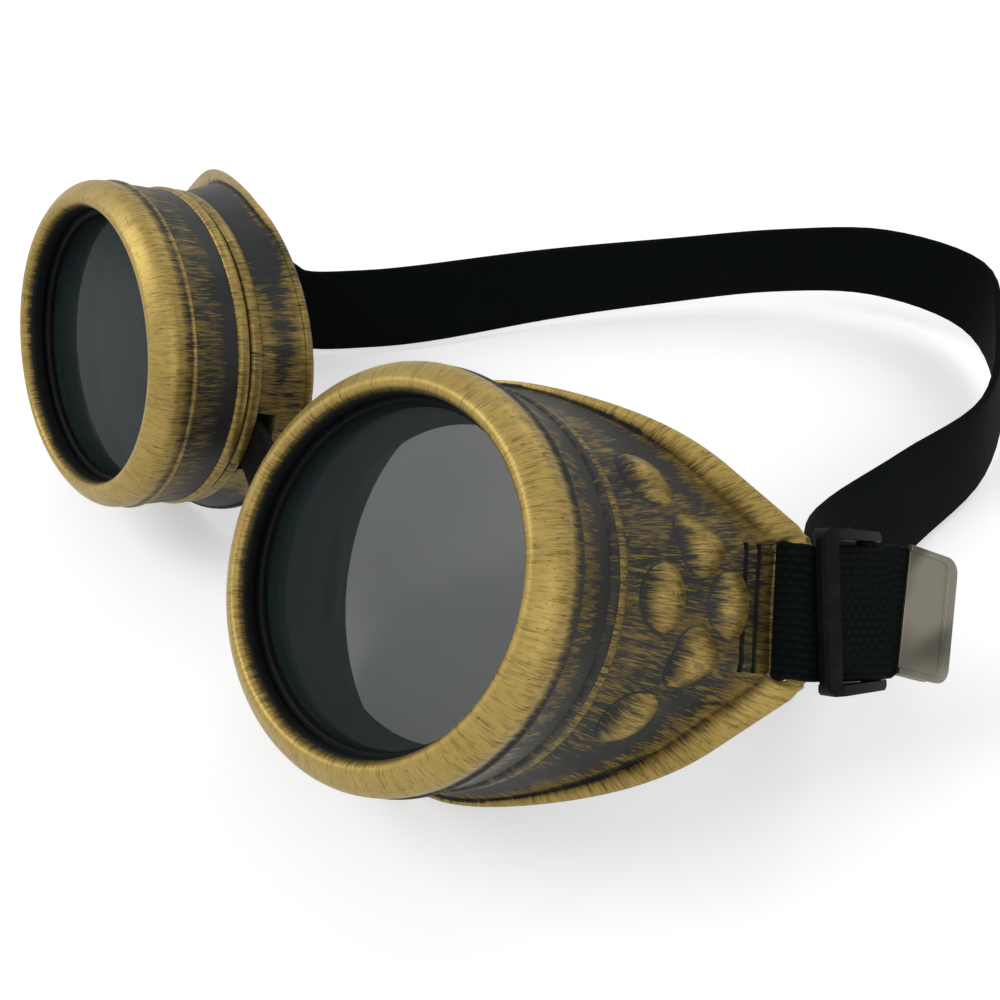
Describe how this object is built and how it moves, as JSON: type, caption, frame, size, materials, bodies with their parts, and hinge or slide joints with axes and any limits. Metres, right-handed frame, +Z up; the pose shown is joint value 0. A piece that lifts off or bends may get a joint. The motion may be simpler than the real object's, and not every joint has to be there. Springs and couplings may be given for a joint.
{
  "type": "round-lens costume goggles",
  "caption": "Round-lens goggles with screw-on lens rings, flared eye cups, a soft nose bridge and an elastic head strap with a slider and a metal end clip.",
  "frame": {"origin": "centre of the resting outline on the table, at table height", "axes": "+Z up; +X towards the wearer's left; the lenses face -Y and are tilted up as they lie, and the strap is spread out towards +Y. Each eye's own axes are turned from these: left by -46.3, -21.3 and 17.8 degrees about X, Y and Z, right by -25.1, 12.1 and -7.7."},
  "size_m": [0.1868, 0.201, 0.0655],
  "materials": {
    "brushed_gold_plastic": "black moulding dry-brushed with antique gold",
    "black_rubber": "satin",
    "smoked_lens": "smoke tint, polished",
    "black_webbing": "woven elastic, matte",
    "black_thread": "sewing thread",
    "gloss_black_plastic": "glossy moulding",
    "nickel": "dull warm nickel, satin"
  },
  "bodies": {
    "bridge_and_strap": {"nose_bridge": "black_rubber", "head_strap": "black_webbing"},
    "left_cup_body": {"left_cup": "brushed_gold_plastic", "strap_tail": "black_webbing", "end_clip": "nickel"},
    "left_lens_body": {"left_lens": "smoked_lens", "left_gasket": "black_rubber"},
    "left_ring_body": {"left_ring": "brushed_gold_plastic"},
    "slider_body": {"strap_slider": "gloss_black_plastic"},
    "right_cup_body": {"right_cup": "brushed_gold_plastic", "right_strap_loop": "black_webbing", "right_stitching": "black_thread"},
    "right_lens_body": {"right_lens": "smoked_lens", "right_gasket": "black_rubber"},
    "right_ring_body": {"right_ring": "brushed_gold_plastic"}
  },
  "joints": [
    {"name": "left_bridge_hinge", "type": "hinge", "parent": "bridge_and_strap", "child": "left_cup_body", "pos_m": [0.01086, -0.07573, 0.01833], "axis": [-0.46, 0.6116, 0.6437], "range_deg": [-12, 7], "deforming": ["head_strap"]},
    {"name": "right_bridge_hinge", "type": "hinge", "parent": "bridge_and_strap", "child": "right_cup_body", "pos_m": [-0.01957, -0.06862, 0.02704], "axis": [0.2449, 0.3949, 0.8854], "range_deg": [-12, 12]},
    {"name": "left_ring_travel", "type": "slide", "parent": "left_cup_body", "child": "left_lens_body", "axis": [-0.0388, -0.7381, 0.6736], "range_m": [0, 0.003]},
    {"name": "left_ring_turn", "type": "hinge", "parent": "left_lens_body", "child": "left_ring_body", "pos_m": [0.03313, -0.08186, 0.04006], "axis": [-0.0388, -0.7381, 0.6736], "range_deg": [0, 360]},
    {"name": "right_ring_travel", "type": "slide", "parent": "right_cup_body", "child": "right_lens_body", "axis": [-0.0332, -0.9093, 0.4148], "range_m": [0, 0.003]},
    {"name": "right_ring_turn", "type": "hinge", "parent": "right_lens_body", "child": "right_ring_body", "pos_m": [-0.04527, -0.08186, 0.04006], "axis": [-0.0332, -0.9093, 0.4148], "range_deg": [0, 360]},
    {"name": "slider_slide", "type": "slide", "parent": "left_cup_body", "child": "slider_body", "axis": [0.4309, 0.8366, -0.3382], "range_m": [-0.004, 0]}
  ],
  "couplings": [
    {"joint": "left_ring_travel", "follows": "left_ring_turn", "m_per_rad": 0.00047746},
    {"joint": "right_ring_travel", "follows": "right_ring_turn", "m_per_rad": 0.00047746}
  ]
}
